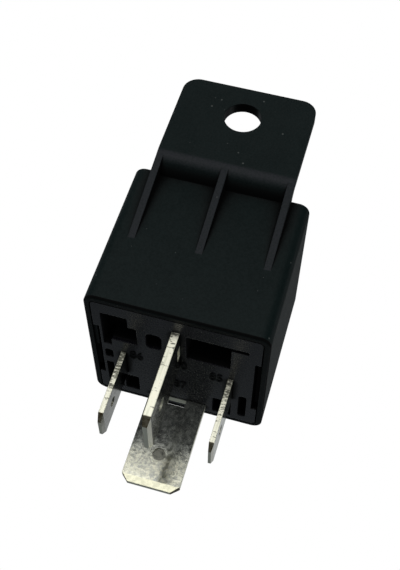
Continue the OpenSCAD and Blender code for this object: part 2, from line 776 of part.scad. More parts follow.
module armature_outline() {
    translate([0, (armature_front + armature_rear) / 2])
        round_rect(armature_w, armature_front - armature_rear, 1);
    translate([-neck_w / 2, -yoke_back - back_gap])
        square([neck_w, armature_rear + yoke_back + back_gap + cut]);
    translate([spring_x - lug_w / 2, lug_back])
        square([lug_w, -yoke_back - back_gap - lug_back]);
    translate([spring_x - lug_w / 2, -yoke_back - back_gap - fit_gap])
        square([neck_w / 2 - spring_x + lug_w / 2, cut]);
}

module tongue() {
    y0 = -yoke_back - tongue_gap - tongue_t;
    translate([tongue_x[0], 0, 0]) rotate([90, 0, 90])
        linear_extrude(tongue_x[1] - tongue_x[0]) {
            translate([y0, armature_z - tongue_l]) square([tongue_t, tongue_l]);
            translate([y0 + tongue_t, armature_z])
                square([tongue_gap + hinge_r + 0.2, armature_t]);
            intersection() {
                translate([y0 + armature_t, armature_z]) circle(armature_t);
                translate([y0, armature_z]) square([tongue_t, armature_t]);
            }
        }
}

module armature() {
    color(steel) from_hole() opened() difference() {
        union() {
            translate([0, 0, armature_z]) linear_extrude(armature_t) armature_outline();
            tongue();
        }
        translate([spring_x, spring_y, armature_z - cut])
            cylinder(d = lug_hole_d, h = armature_t + 2 * cut);
        for (x = [-1, 1])
            translate([x * rivet_at[0], rivet_at[1], armature_z - cut])
                cylinder(d = rivet_d + 2 * fit_gap, h = armature_t + 2 * cut);
    }
}

module contact_spring() {
    color(bronze) from_hole() opened() translate([0, 0, leaf_z + seat_gap])
        linear_extrude(leaf_t) difference() {
            union() {
                translate([0, (leaf_ends[0] + leaf_ends[1]) / 2])
                    round_rect(leaf_w, leaf_ends[1] - leaf_ends[0], 0.8);
                translate([-pad_w / 2, leaf_ends[1] - cut])
                    square([pad_w, contact_y + cut - leaf_ends[1]]);
                translate([0, contact_y]) circle(d = pad_w);
                translate([wing[0], wing[1]]) square([-wing[0], wing[2] - wing[1]]);
            }
            for (x = [-1, 1])
                translate([x * rivet_at[0], rivet_at[1]]) circle(d = rivet_d + 2 * fit_gap);
            translate([0, contact_y]) circle(d = contact_shank_d + 2 * fit_gap);
        }
}

// Rivet with a domed head: shank from z = 0 down by grip, tail below it
module rivet(d, head_d, head_h, grip, tail_d, tail_h) {
    translate([0, 0, -grip - seat_gap]) cylinder(d = d, h = grip + 2 * seat_gap);
    translate([0, 0, seat_gap]) domed_head(head_d, head_h);
    translate([0, 0, -grip - seat_gap - tail_h]) cylinder(d = tail_d, h = tail_h);
}

// Disc with a rounded upper edge
module domed_head(d, h) {
    r = h * 0.6;
    rotate_extrude() {
        square([d / 2, h - r]);
        square([d / 2 - r, h]);
        translate([d / 2 - r, h - r]) intersection() {
            circle(r);
            square(r);
        }
    }
}

module armature_rivets() {
    color(bronze) from_hole() opened() for (x = [-1, 1])
        translate([x * rivet_at[0], rivet_at[1], leaf_z + seat_gap + leaf_t])
            rivet(rivet_d, rivet_head[0], rivet_head[1], leaf_t + seat_gap + armature_t,
                  rivet_tail[0], rivet_tail[1]);
}

module moving_contact() {
    color(silver) from_hole() opened()
        translate([0, contact_y, leaf_z]) mirror([0, 0, 1])
            rivet(contact_shank_d, moving_d, moving_h - seat_gap, leaf_t + seat_gap,
                  contact_tail[0], contact_tail[1]);
}

module fixed_contact() {
    color(silver) from_hole() translate([0, contact_y, arm_z])
        rivet(contact_shank_d, fixed_d, fixed_h - seat_gap, power_t,
              contact_tail[0], contact_tail[1]);
}

// ---------------------------------------------------------------- spring, braid, resistor

// Quarter of a hook in the XZ plane, from heading along -X to heading along Z
function hook(x, z, r, up) = [for (a = [0 : 22.5 : 90])
    [x - r * sin(a), 0, z + up * r * (1 - cos(a))]];
// Half turn by which the wire leaves the axis and reaches the coil's radius
function lead_in(r, z, up) = [for (k = [0.2 : 0.2 : 0.8])
    [k * r * cos(180 * (1 - k)), -up * k * r * sin(180 * (1 - k)), z - up * (1 - k)]];
function reversed(p) = [for (i = [len(p) - 1 : -1 : 0]) p[i]];

module return_spring() {
    r = (spring_d - spring_wire) / 2;
    hook_r = 0.35;
    z0 = yoke_lug_z + 1.9;
    z1 = upper_lug[0] - 1.9;
    steps = spring_turns * rings_per_turn;
    coil = [for (i = [0 : steps])
        [r * cos(i * 360 / rings_per_turn), r * sin(i * 360 / rings_per_turn),
         z0 + (z1 - z0) * i / steps]];
    low = yoke_lug_z - lug_t - spring_wire / 2 - seat_gap;
    high = upper_lug[1] + spring_wire / 2 + 3 * seat_gap;
    lower = concat([[2 * hook_r + 0.2, 0, low]], hook(hook_r, low, hook_r, 1),
                   [[0, 0, yoke_lug_z + 0.3], [0, 0, z0 - 1.1]], lead_in(r, z0, 1));
    upper = concat([[2 * hook_r + 0.2, 0, high]], hook(hook_r, high, hook_r, -1),
                   [[0, 0, upper_lug[0] - 0.3], [0, 0, z1 + 1.1]], lead_in(r, z1, -1));
    color(steel) from_hole() translate([spring_x, spring_y, 0])
        wire(concat(lower, coil, reversed(upper)), spring_wire, 6, [0, 1, 0]);
}

module braid() {
    color(copper) from_hole() wire(route(braid_points, 4), braid_d, 8);
}

module resistor() {
    end_l = 1.7;
    neck = 0.15;
    color("#b79a6a") from_hole() translate([0, resistor_y, resistor_z]) rotate([0, 90, 0]) {
        cylinder(d = resistor_d - 2 * neck, h = resistor_l - end_l, center = true);
        for (side = [0, 1]) mirror([0, 0, side])
            translate([0, 0, resistor_l / 2 - end_l]) rotate_extrude() intersection() {
                translate([0, end_l / 2]) round_rect(resistor_d, end_l, 0.4);
                square([resistor_d, end_l]);
            }
    }
}

module resistor_leads() {
    bend = 0.9;
    start = resistor_l / 2 + seat_gap;
    y_end = post_y + post_w / 2 + seat_gap;
    points = [[start, resistor_y, resistor_z], [coil_x - bend, resistor_y, resistor_z],
              [coil_x - bend * 0.3, resistor_y - bend * 0.3, resistor_z],
              [coil_x, resistor_y - bend, resistor_z], [coil_x, y_end, resistor_z]];
    color(tin) from_hole() for (side = [0, 1]) mirror([side, 0, 0])
        wire(points, lead_d, 8);
}

cover();
base();
terminal_30();
terminal_87();
terminal_85();
terminal_86();
yoke();
core();
bobbin();
winding();
coil_leads();
armature();
contact_spring();
armature_rivets();
moving_contact();
fixed_contact();
return_spring();
braid();
resistor();
resistor_leads();
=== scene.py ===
"""Finishes, terminal numbers, camera and studio for a four-terminal plug-in relay.

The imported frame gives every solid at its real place. This script dresses each of them, adds the
moulded terminal numbers on the socket face, and sets up the studio.
"""

import logging
import math
from dataclasses import dataclass, field, replace
from enum import Enum

import bmesh
import bpy
from mathutils import Matrix, Vector


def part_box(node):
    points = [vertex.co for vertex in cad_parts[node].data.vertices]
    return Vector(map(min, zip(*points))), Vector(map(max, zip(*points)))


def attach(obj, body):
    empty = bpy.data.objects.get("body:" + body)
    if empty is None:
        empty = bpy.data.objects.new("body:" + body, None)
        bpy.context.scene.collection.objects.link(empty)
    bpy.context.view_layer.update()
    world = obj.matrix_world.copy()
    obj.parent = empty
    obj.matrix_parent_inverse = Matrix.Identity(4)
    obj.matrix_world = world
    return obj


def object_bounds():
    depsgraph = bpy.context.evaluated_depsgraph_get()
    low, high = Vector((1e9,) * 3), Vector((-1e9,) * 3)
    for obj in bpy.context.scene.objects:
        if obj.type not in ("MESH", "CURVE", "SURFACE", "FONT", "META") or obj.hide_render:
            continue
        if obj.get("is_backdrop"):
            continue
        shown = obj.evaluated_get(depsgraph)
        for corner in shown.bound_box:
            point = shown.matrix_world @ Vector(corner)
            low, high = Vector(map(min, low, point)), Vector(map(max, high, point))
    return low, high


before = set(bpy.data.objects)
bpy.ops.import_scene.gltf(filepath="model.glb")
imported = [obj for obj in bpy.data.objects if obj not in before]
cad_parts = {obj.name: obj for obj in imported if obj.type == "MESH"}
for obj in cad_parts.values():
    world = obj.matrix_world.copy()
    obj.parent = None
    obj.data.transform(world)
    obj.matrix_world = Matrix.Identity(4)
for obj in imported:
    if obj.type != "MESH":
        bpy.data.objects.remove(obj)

LOG = logging.getLogger("relay")
MM = 0.001
OCCLUSION_SAMPLES = 8
EDGE_SAMPLES = 6
# Places of the colours among a Mix node's sockets, whose names are not unique
FIRST_COLOUR, SECOND_COLOUR, MIXED_COLOUR = 6, 7, 2

Colour = tuple[float, float, float]
# A range, from its start to its end
Span = tuple[float, float]
# How many finer layers a noise has, and how strong they are
Layers = tuple[float, float]

RISING: Span = (0.0, 1.0)
FALLING: Span = (1.0, 0.0)
WHITE: Colour = (1.0, 1.0, 1.0)
UNLIT_PLASTIC: Colour = (0.0006, 0.0006, 0.0006)
DUST: Colour = (0.062, 0.070, 0.066)


# ------------------------------------------------------------------ shader helpers


class FaceAxis(Enum):
    """The axis that a stamped strip's broad faces look along."""

    ACROSS_CASE = (1.0, 0.0, 0.0)
    ALONG_CASE = (0.0, 1.0, 0.0)


class ShaderTree:
    """Short way to add and join the nodes of one shader tree."""

    def __init__(self, tree: bpy.types.NodeTree) -> None:
        """Wraps the node tree of a material, a world or a group."""
        self.tree = tree

    def add(self, kind: str, **settings: object) -> bpy.types.Node:
        """Adds a node.

        Args:
            kind: the node's type name.
            settings: properties to set on it.

        Returns:
            The new node.
        """
        node = self.tree.nodes.new(kind)
        for key, value in settings.items():
            setattr(node, key, value)
        return node

    def join(self, source: bpy.types.NodeSocket, target: bpy.types.NodeSocket) -> None:
        """Links one socket to another."""
        self.tree.links.new(source, target)

    def place(self, what: str) -> bpy.types.NodeSocket:
        """Gives where a point is ("Object") or where the surface faces ("Normal")."""
        return self.add("ShaderNodeTexCoord").outputs[what]

    def parts(self, vector: bpy.types.NodeSocket) -> bpy.types.Node:
        """Splits a vector.

        Args:
            vector: the vector.

        Returns:
            A node with the outputs X, Y and Z.
        """
        node = self.add("ShaderNodeSeparateXYZ")
        self.join(vector, node.inputs[0])
        return node

    def stretched(self, where: bpy.types.NodeSocket,
                  scale: tuple[float, float, float]) -> bpy.types.NodeSocket:
        """Scales coordinates, so that a pattern is drawn out where the scale is small.

        Args:
            where: the coordinates.
            scale: their scale along each axis.

        Returns:
            The scaled coordinates' socket.
        """
        node = self.add("ShaderNodeMapping")
        node.inputs["Scale"].default_value = scale
        self.join(where, node.inputs["Vector"])
        return node.outputs[0]

    def maths(self, operation: str, a: object, b: object = None) -> bpy.types.NodeSocket:
        """Adds a Math node.

        Args:
            operation: the node's operation.
            a: first input, a socket or a number.
            b: second input, a socket or a number, where the operation has one.

        Returns:
            The result's socket.
        """
        node = self.add("ShaderNodeMath", operation=operation)
        for socket, value in zip(node.inputs, (a, b)):
            if isinstance(value, bpy.types.NodeSocket):
                self.join(value, socket)
            elif value is not None:
                socket.default_value = value
        return node.outputs[0]

    def product(self, first: bpy.types.NodeSocket, *others: object) -> bpy.types.NodeSocket:
        """Multiplies values.

        Args:
            first: the first factor.
            others: more factors, sockets or numbers.

        Returns:
            The product's socket.
        """
        for other in others:
            first = self.maths("MULTIPLY", first, other)
        return first

    def remap(self, value: bpy.types.NodeSocket, span: Span,
              to: Span = RISING) -> bpy.types.NodeSocket:
        """Maps a value smoothly from one range to another.

        Args:
            value: what is mapped.
            span: the range that it is mapped from.
            to: the range that it is mapped to.

        Returns:
            The result's socket.
        """
        node = self.add("ShaderNodeMapRange", interpolation_type="SMOOTHSTEP")
        self.join(value, node.inputs["Value"])
        for key, number in zip(("From Min", "From Max", "To Min", "To Max"), (*span, *to)):
            node.inputs[key].default_value = number
        return node.outputs["Result"]

    def blend(self, share: bpy.types.NodeSocket, a: object, b: object) -> bpy.types.NodeSocket:
        """Mixes two colours.

        Args:
            share: how much of b shows.
            a: first colour, a socket or three numbers.
            b: second colour, a socket or three numbers.

        Returns:
            The mixed colour's socket.
        """
        node = self.add("ShaderNodeMix", data_type="RGBA")
        self.join(share, node.inputs[0])
        for place, value in ((FIRST_COLOUR, a), (SECOND_COLOUR, b)):
            if isinstance(value, bpy.types.NodeSocket):
                self.join(value, node.inputs[place])
            else:
                node.inputs[place].default_value = (*value, 1.0)
        return node.outputs[MIXED_COLOUR]

    def noise(self, where: bpy.types.NodeSocket, scale: object,
              layers: Layers) -> bpy.types.NodeSocket:
        """Adds a noise pattern.

        Args:
            where: coordinates that it reads.
            scale: cells per metre, a socket or a number.
            layers: its finer layers.

        Returns:
            The socket of its value, from 0 to 1.
        """
        node = self.add("ShaderNodeTexNoise")
        self.join(where, node.inputs["Vector"])
        if isinstance(scale, bpy.types.NodeSocket):
            self.join(scale, node.inputs["Scale"])
        else:
            node.inputs["Scale"].default_value = scale
        node.inputs["Detail"].default_value, node.inputs["Roughness"].default_value = layers
        return node.outputs[0]

    def group(self, made: bpy.types.NodeTree, **values: float) -> bpy.types.Node:
        """Places a node group.

        Args:
            made: the group's tree.
            values: its inputs, with spaces in their names written as underscores.

        Returns:
            The group node.
        """
        node = self.add("ShaderNodeGroup")
        node.node_tree = made
        for key, value in values.items():
            node.inputs[key.replace("_", " ")].default_value = value
        return node


@dataclass
class SurfaceEffects:
    """Node groups that several finishes share: moulded grain, dust, and rolled metal.

    Scales are shares of the scale that a group is given.
    """

    grain_layers: Layers = (3.0, 0.7)
    patch_scale: float = 0.035
    patch_layers: Layers = (3.0, 0.55)
    patch_span: Span = (0.32, 0.68)
    patch_shade: Span = (0.0, 0.3)
    spot_scale: float = 0.6
    spot_layers: Layers = (1.0, 0.5)
    spot_span: Span = (0.3, 0.7)
    spot_shade: Span = (0.0, 0.7)
    speck_reach: float = 0.14
    mottle_layers: Layers = (4.0, 0.62)
    mottle_span: Span = (0.36, 0.66)
    mottle_depth: float = 0.7
    mark_scale: float = 5.0
    mark_layers: Layers = (3.0, 0.6)
    mark_depth: float = 0.3
    grain: bpy.types.NodeTree = field(init=False)
    dust: bpy.types.NodeTree = field(init=False)
    rolled: bpy.types.NodeTree = field(init=False)

    def __post_init__(self) -> None:
        """Builds the groups once."""
        self.grain = self._grain()
        self.dust = self._dust()
        self.rolled = self._rolled()

    @staticmethod
    def _start(name: str, inputs: tuple[str, ...], outputs: tuple[str, ...]
               ) -> tuple[ShaderTree, bpy.types.Node, bpy.types.Node]:
        """Makes an empty group with named sockets.

        Args:
            name: the group's name.
            inputs: its inputs.
            outputs: its outputs.

        Returns:
            The tree, its input node and its output node.
        """
        made = bpy.data.node_groups.new(name, "ShaderNodeTree")
        for way, names in (("INPUT", inputs), ("OUTPUT", outputs)):
            for key in names:
                made.interface.new_socket(key, in_out=way, socket_type="NodeSocketFloat")
        tree = ShaderTree(made)
        return tree, tree.add("NodeGroupInput"), tree.add("NodeGroupOutput")

    def _grain(self) -> bpy.types.NodeTree:
        """Makes the fine grain of a moulded surface, with patches and spots in its shade.

        Returns:
            The group's tree.
        """
        tree, given, result = self._start("moulded_grain", ("Grains per Metre",),
                                          ("Height", "Shade"))
        where, scale = tree.place("Object"), given.outputs[0]
        patches = tree.noise(where, tree.product(scale, self.patch_scale), self.patch_layers)
        spots = tree.noise(where, tree.product(scale, self.spot_scale), self.spot_layers)
        tree.join(tree.noise(where, scale, self.grain_layers), result.inputs["Height"])
        tree.join(tree.maths("ADD", tree.remap(patches, self.patch_span, self.patch_shade),
                             tree.remap(spots, self.spot_span, self.spot_shade)),
                  result.inputs["Shade"])
        return tree.tree

    def _dust(self) -> bpy.types.NodeTree:
        """Makes sparse specks, each in a cell of its own.

        Returns:
            The group's tree.
        """
        tree, given, result = self._start("dust_specks", ("Specks per Metre", "Share"),
                                          ("Mask",))
        cells = tree.add("ShaderNodeTexVoronoi", feature="F1")
        tree.join(tree.place("Object"), cells.inputs["Vector"])
        tree.join(given.outputs["Specks per Metre"], cells.inputs["Scale"])
        pick = tree.add("ShaderNodeSeparateColor")
        tree.join(cells.outputs["Color"], pick.inputs[0])
        kept = tree.maths("LESS_THAN", pick.outputs[0], given.outputs["Share"])
        reach = tree.product(pick.outputs[1], self.speck_reach)
        inside = tree.maths("LESS_THAN", cells.outputs["Distance"], reach)
        tree.join(tree.product(kept, inside), result.inputs["Mask"])
        return tree.tree

    def _rolled(self) -> bpy.types.NodeTree:
        """Makes the mottling and fine marks of plated, rolled strip.

        Returns:
            The group's tree.
        """
        tree, given, result = self._start("rolled_metal", ("Mottles per Metre",),
                                          ("Mottle", "Height"))
        where, scale = tree.place("Object"), given.outputs[0]
        mottles = tree.noise(where, scale, self.mottle_layers)
        marks = tree.noise(where, tree.product(scale, self.mark_scale), self.mark_layers)
        tree.join(tree.remap(mottles, self.mottle_span), result.inputs["Mottle"])
        tree.join(tree.maths("ADD", tree.product(mottles, self.mottle_depth),
                             tree.product(marks, self.mark_depth)), result.inputs["Height"])
        return tree.tree


@dataclass(frozen=True)
class Relief:
    """Fine relief of a surface, and edges that look slightly rounded.

    The depth and the edges' radius are in metres.
    """

    strength: float
    depth: float
    edge_r: float

    def apply(self, tree: ShaderTree, shader: bpy.types.Node,
              height: bpy.types.NodeSocket) -> None:
        """Gives a shader the relief.

        Args:
            tree: the material's tree.
            shader: the shader node.
            height: the pattern that is the relief's height.
        """
        edge = tree.add("ShaderNodeBevel", samples=EDGE_SAMPLES)
        edge.inputs["Radius"].default_value = self.edge_r
        bump = tree.add("ShaderNodeBump")
        bump.inputs["Strength"].default_value = self.strength
        bump.inputs["Distance"].default_value = self.depth
        tree.join(height, bump.inputs["Height"])
        tree.join(edge.outputs[0], bump.inputs["Normal"])
        tree.join(bump.outputs[0], shader.inputs["Normal"])


def start_material(name: str) -> tuple[bpy.types.Material, ShaderTree, bpy.types.Node]:
    """Makes a material with one shader.

    Args:
        name: the material's name.

    Returns:
        The material, its tree and its shader node.
    """
    material = bpy.data.materials.new(name)
    material.use_nodes = True
    tree = ShaderTree(material.node_tree)
    return material, tree, material.node_tree.nodes["Principled BSDF"]


def above(level: float, span: Span) -> Span:
    """Moves a range up by a level."""
    return level + span[0], level + span[1]


# ------------------------------------------------------------------ finishes


def shaded_slots(tree: ShaderTree, at: bpy.types.Node, slot_y: float) -> bpy.types.NodeSocket:
    """Marks painted shade on latch bars, as open slots: all of the right one, the left one from
    slot_y on.
    """
    return tree.maths("MAXIMUM", tree.maths("GREATER_THAN", at.outputs["X"], 0.0),
                      tree.maths("GREATER_THAN", at.outputs["Y"], slot_y))


@dataclass(frozen=True)
class BaseShade:
    """Painted shade in the pockets and slots of the base, where hardly any light gets in.

    Ranges are heights above the socket face. The latch bars lie just behind that face.
    """

    face_z: float
    slot_y: float
    pocket: Span = (0.12 * MM, 1.0 * MM)
    bar: Span = (0.1 * MM, 0.24 * MM)

    def mask(self, tree: ShaderTree) -> bpy.types.NodeSocket:
        """Tells how much painted shade the base gets.

        Args:
            tree: the material's tree.

        Returns:
            The darkness, from 0 to 1.
        """
        at = tree.parts(tree.place("Object"))
        # Painted shade deeper in the pockets, and on the latch bars where their slots look open
        pockets = tree.remap(at.outputs["Z"], above(self.face_z, self.pocket))
        bars = tree.remap(at.outputs["Z"], above(self.face_z, self.bar))
        slots = shaded_slots(tree, at, self.slot_y)
        return tree.maths("MAXIMUM", pockets, tree.product(bars, slots))


@dataclass(frozen=True)
class CaseShade:
    """Painted shade and painted light on the case.

    Painted shade darkens the lower edge, the latch bars behind it, and the hollow under the
    bracket's bend. Painted light makes the ribs and the start of the bend lighter. The lower
    edge's range, bar and bracket_foot are heights above the lower edge. The other values are
    the upward part of the surface normal, or the darkness that it gives.
    """

    rim_z: float
    slot_y: float
    rim_shade: Span = (0.4 * MM, 0.55 * MM)
    upright: Span = (-0.85, -0.7)
    rim_dark: Span = (0.5, 0.97)
    bar: Span = (0.2 * MM, 0.26 * MM)
    bar_faces: float = -0.9
    bracket_foot: float = 11.0 * MM
    hollow: Span = (-0.92, -0.48)
    hollow_dark: Span = (0.92, 0.0)
    sloped: Span = (-0.16, -0.06)
    shallow: Span = (-0.75, -0.3)

    def mask(self, tree: ShaderTree) -> bpy.types.NodeSocket:
        """Tells how much painted shade the case gets.

        Args:
            tree: the material's tree.

        Returns:
            The darkness, from 0 to 1.
        """
        at, faces = tree.parts(tree.place("Object")), tree.parts(tree.place("Normal"))
        # Painted shade along the lower edge, and on the latch bars where their slots look open
        low = tree.remap(at.outputs["Z"], above(self.rim_z, self.rim_shade), FALLING)
        edge = tree.remap(faces.outputs["Z"], self.upright, self.rim_dark)
        bars = tree.product(tree.remap(at.outputs["Z"], above(self.rim_z, self.bar)),
                            tree.maths("LESS_THAN", faces.outputs["Z"], self.bar_faces),
                            shaded_slots(tree, at, self.slot_y))
        rim = tree.product(low, tree.maths("MAXIMUM", edge, bars))
        # Painted shade in the hollow under the bracket's bend
        under = tree.remap(faces.outputs["Z"], self.hollow, self.hollow_dark)
        return tree.maths("MAXIMUM", rim, tree.product(under, self._bracket(tree, at)))

    def painted_rib_light(self, tree: ShaderTree) -> bpy.types.NodeSocket:
        """Tells where the ribs and the bracket's bend get painted light.

        Args:
            tree: the material's tree.

        Returns:
            The share of painted light, from 0 to 1.
        """
        at, faces = tree.parts(tree.place("Object")), tree.parts(tree.place("Normal"))
        return tree.product(tree.remap(faces.outputs["Z"], self.sloped, FALLING),
                            tree.remap(faces.outputs["Z"], self.shallow),
                            self._bracket(tree, at))

    def _bracket(self, tree: ShaderTree, at: bpy.types.Node) -> bpy.types.NodeSocket:
        """Marks the ribs and the bracket by their height, with 0 or 1."""
        return tree.maths("GREATER_THAN", at.outputs["Z"], self.rim_z + self.bracket_foot)


@dataclass(frozen=True)
class MouldedPlastic:
    """Glass-filled nylon with a fine moulded grain and a little dust.

    Places that are closed in within the crevice length get painted shade and go dull, and so
    do those that the shade marks. The left and right sides are duller than the rest.
    """

    name: str
    light: Colour
    dark: Colour
    roughness: float
    specular: float
    shade: BaseShade | CaseShade | None = None
    # Painted light on the ribs and the bracket's bend: its colour, and how the grain makes it
    # uneven
    painted_rib_light: Colour = (0.0130, 0.0150, 0.0185)
    rib_light_grain: Span = (0.1, 0.9)
    rib_light_share: Span = (0.5, 1.0)
    dust_share: float = 0.26
    crevice: float = 2.5 * MM
    crevice_open: Span = (0.5, 1.0)
    side_faces: Span = (0.6, 0.95)
    side_roughness: float = 0.72
    roughness_change: Span = (-0.04, 0.05)
    relief: Relief = Relief(0.6, 0.06 * MM, 0.16 * MM)
    grains_per_metre: float = 5200.0
    specks_per_metre: float = 900.0

    def build(self, effects: SurfaceEffects) -> bpy.types.Material:
        """Makes the material.

        Args:
            effects: the shared node groups.

        Returns:
            The material.
        """
        material, tree, shader = start_material(self.name)
        grain = tree.group(effects.grain, Grains_per_Metre=self.grains_per_metre)
        dust = tree.group(effects.dust, Specks_per_Metre=self.specks_per_metre,
                          Share=self.dust_share)
        body = tree.blend(grain.outputs["Shade"], self.dark, self.light)
        # Painted light on the ribs and the start of the bracket's bend, uneven with the grain
        if isinstance(self.shade, CaseShade):
            uneven = tree.remap(grain.outputs["Shade"], self.rib_light_grain, self.rib_light_share)
            body = tree.blend(tree.product(self.shade.painted_rib_light(tree), uneven), body, self.painted_rib_light)
        body = tree.blend(dust.outputs["Mask"], body, DUST)

        # Painted shade: crevices found by occlusion, and places that the shade marks, go towards
        # unlit plastic
        near = tree.add("ShaderNodeAmbientOcclusion", samples=OCCLUSION_SAMPLES)
        near.inputs["Distance"].default_value = self.crevice
        dull = tree.remap(near.outputs["AO"], self.crevice_open, FALLING)
        if self.shade is not None:
            dull = tree.maths("MAXIMUM", dull, self.shade.mask(tree))
        tree.join(tree.blend(dull, body, UNLIT_PLASTIC), shader.inputs["Base Color"])

        across = tree.maths("ABSOLUTE", tree.parts(tree.place("Normal")).outputs["X"])
        sides = tree.remap(across, self.side_faces, (0.0, self.side_roughness))
        plain = tree.remap(grain.outputs["Shade"], RISING,
                           above(self.roughness, self.roughness_change))
        tree.join(tree.maths("MAXIMUM", plain, tree.maths("MAXIMUM", dull, sides)),
                  shader.inputs["Roughness"])
        shader.inputs["Specular IOR Level"].default_value = self.specular
        self.relief.apply(tree, shader, grain.outputs["Height"])
        return material


@dataclass(frozen=True)
class TinnedStrip:
    """Tin plating over stamped brass: smooth broad faces, rough sheared edges.

    The tip's height, the middle plane and half the thickness are read from the solid.
    Ranges called heights are above the tip. Ranges called faces are of the surface normal:
    its part along the broad faces' axis for the edges, its upward part for the others.
    """

    node: str
    faces_along: FaceAxis
    chamfer: float
    worn_from: float
    tip_z: float = 0.0
    middle: float = 0.0
    half: float = 0.0

    # Broad faces: mottles of two sizes, streaks, painted shade in the dimples, and a duller part
    # by the base
    face: Colour = (0.42, 0.413, 0.335)
    face_dark: Colour = (0.245, 0.252, 0.228)
    fine_mottles: float = 2500.0
    broad_mottles: float = 420.0
    fine_share: float = 0.75
    broad_share: float = 0.25
    face_span: Span = (-0.1, 0.7)
    streak_stretch: tuple[float, float, float] = (1.0, 1.0, 0.07)
    streaks_per_metre: float = 620.0
    streak_layers: Layers = (2.0, 0.5)
    streak_span: Span = (0.6, 0.7)
    streak_share: float = 0.3
    dull: Colour = (0.40, 0.425, 0.41)
    dull_dark: Colour = (0.16, 0.172, 0.168)
    dull_span: Span = (0.15, 0.75)
    dull_heights: Span = (4.0 * MM, 8.0 * MM)
    dull_share: float = 0.0
    dull_metallic: float = 1.0
    painted_dimple_shade: Colour = (0.13, 0.13, 0.11)
    dimple_depths: Span = (-0.14 * MM, -0.1 * MM)
    dimple_from: float = 1.4 * MM
    bevel: Colour = (0.36, 0.352, 0.265)
    bevel_faces: Span = (-0.14, -0.08)

    # Sheared edges: marks across them, drawn lines along them, and rolled-over borders
    sheared: Colour = (0.97, 0.95, 0.80)
    shear_mark: Colour = (0.16, 0.155, 0.13)
    mark_stretch: tuple[float, float, float] = (0.3, 0.3, 1.0)
    marks_per_metre: float = 2600.0
    mark_layers: Layers = (2.0, 0.7)
    mark_span: Span = (0.28, 0.4)
    worn_over: float = 5.0 * MM
    worn_marks: Span = (0.0, 0.17)
    rollover: Colour = (0.50, 0.51, 0.38)
    line_stretch: tuple[float, float, float] = (1.0, 1.0, 0.04)
    lines_per_metre: float = 3400.0
    line_layers: Layers = (2.0, 0.6)
    line_span: Span = (0.48, 0.66)
    line_share: Span = (0.0, 0.35)
    border_span: Span = (0.7, 0.97)
    border_share: Span = (0.0, 0.55)

    # Ends: torn brass on the chamfers, and the flat tip
    bare: Colour = (0.10, 0.075, 0.035)
    torn_span: Span = (0.42, 0.6)
    torn_share: Span = (0.0, 0.16)
    tip_fade: float = 0.15 * MM
    end: Colour = (0.80, 0.79, 0.68)
    end_faces: Span = (-0.9, -0.8)

    edge_faces: Span = (0.6, 0.9)
    face_roughness: Span = (0.19, 0.1)
    edge_roughness: float = 0.55
    rolled_mottles: float = 1500.0
    relief: Relief = Relief(0.3, 0.03 * MM, 0.07 * MM)

    def build(self, effects: SurfaceEffects) -> bpy.types.Material:
        """Makes the material.

        Args:
            effects: the shared node groups.

        Returns:
            The material.
        """
        material, tree, shader = start_material("tinned_" + self.node)
        at, faces = tree.parts(tree.place("Object")), tree.parts(tree.place("Normal"))
        rolled = tree.group(effects.rolled, Mottles_per_Metre=self.rolled_mottles)
        edge = tree.remap(tree.maths("ABSOLUTE", self._along(tree, tree.place("Normal"))),
                          self.edge_faces, FALLING)

        near_base = tree.remap(at.outputs["Z"], above(self.tip_z, self.dull_heights))
        plated = tree.blend(tree.remap(faces.outputs["Z"], self.bevel_faces, FALLING),
                            self._plated(tree, effects, at, near_base), self.bevel)
        torn = tree.remap(rolled.outputs["Height"], self.torn_span, self.torn_share)
        near_tip = tree.remap(at.outputs["Z"],
                              above(self.tip_z + self.chamfer, (0.0, self.tip_fade)), FALLING)
        cut = tree.blend(near_tip, self._sheared(tree, at),
                         tree.blend(torn, self.bare, self.sheared))
        cut = tree.blend(tree.remap(faces.outputs["Z"], self.end_faces, FALLING), cut, self.end)
        tree.join(tree.blend(edge, plated, cut), shader.inputs["Base Color"])

        rough = tree.add("ShaderNodeMix", data_type="FLOAT")
        tree.join(edge, rough.inputs["Factor"])
        tree.join(tree.remap(rolled.outputs["Mottle"], RISING, self.face_roughness),
                  rough.inputs["A"])
        rough.inputs["B"].default_value = self.edge_roughness
        tree.join(rough.outputs[0], shader.inputs["Roughness"])
        if self.dull_share > 0.0:
            tree.join(tree.remap(near_base, RISING, (1.0, self.dull_metallic)),
                      shader.inputs["Metallic"])
        else:
            shader.inputs["Metallic"].default_value = 1.0
        self.relief.apply(tree, shader, rolled.outputs["Height"])
        return material

    def _along(self, tree: ShaderTree, vector: bpy.types.NodeSocket) -> bpy.types.NodeSocket:
        """Gives a vector's share along the broad faces' axis.

        Args:
            tree: the material's tree.
            vector: the vector.

        Returns:
            The share.
        """
        turned = tree.add("ShaderNodeVectorMath", operation="DOT_PRODUCT")
        tree.join(vector, turned.inputs[0])
        turned.inputs[1].default_value = self.faces_along.value
        return turned.outputs["Value"]

    def _off_middle(self, tree: ShaderTree) -> bpy.types.NodeSocket:
        """Gives the distance from the blade's middle plane."""
        across = self._along(tree, tree.place("Object"))
        return tree.maths("ABSOLUTE", tree.maths("SUBTRACT", across, self.middle))

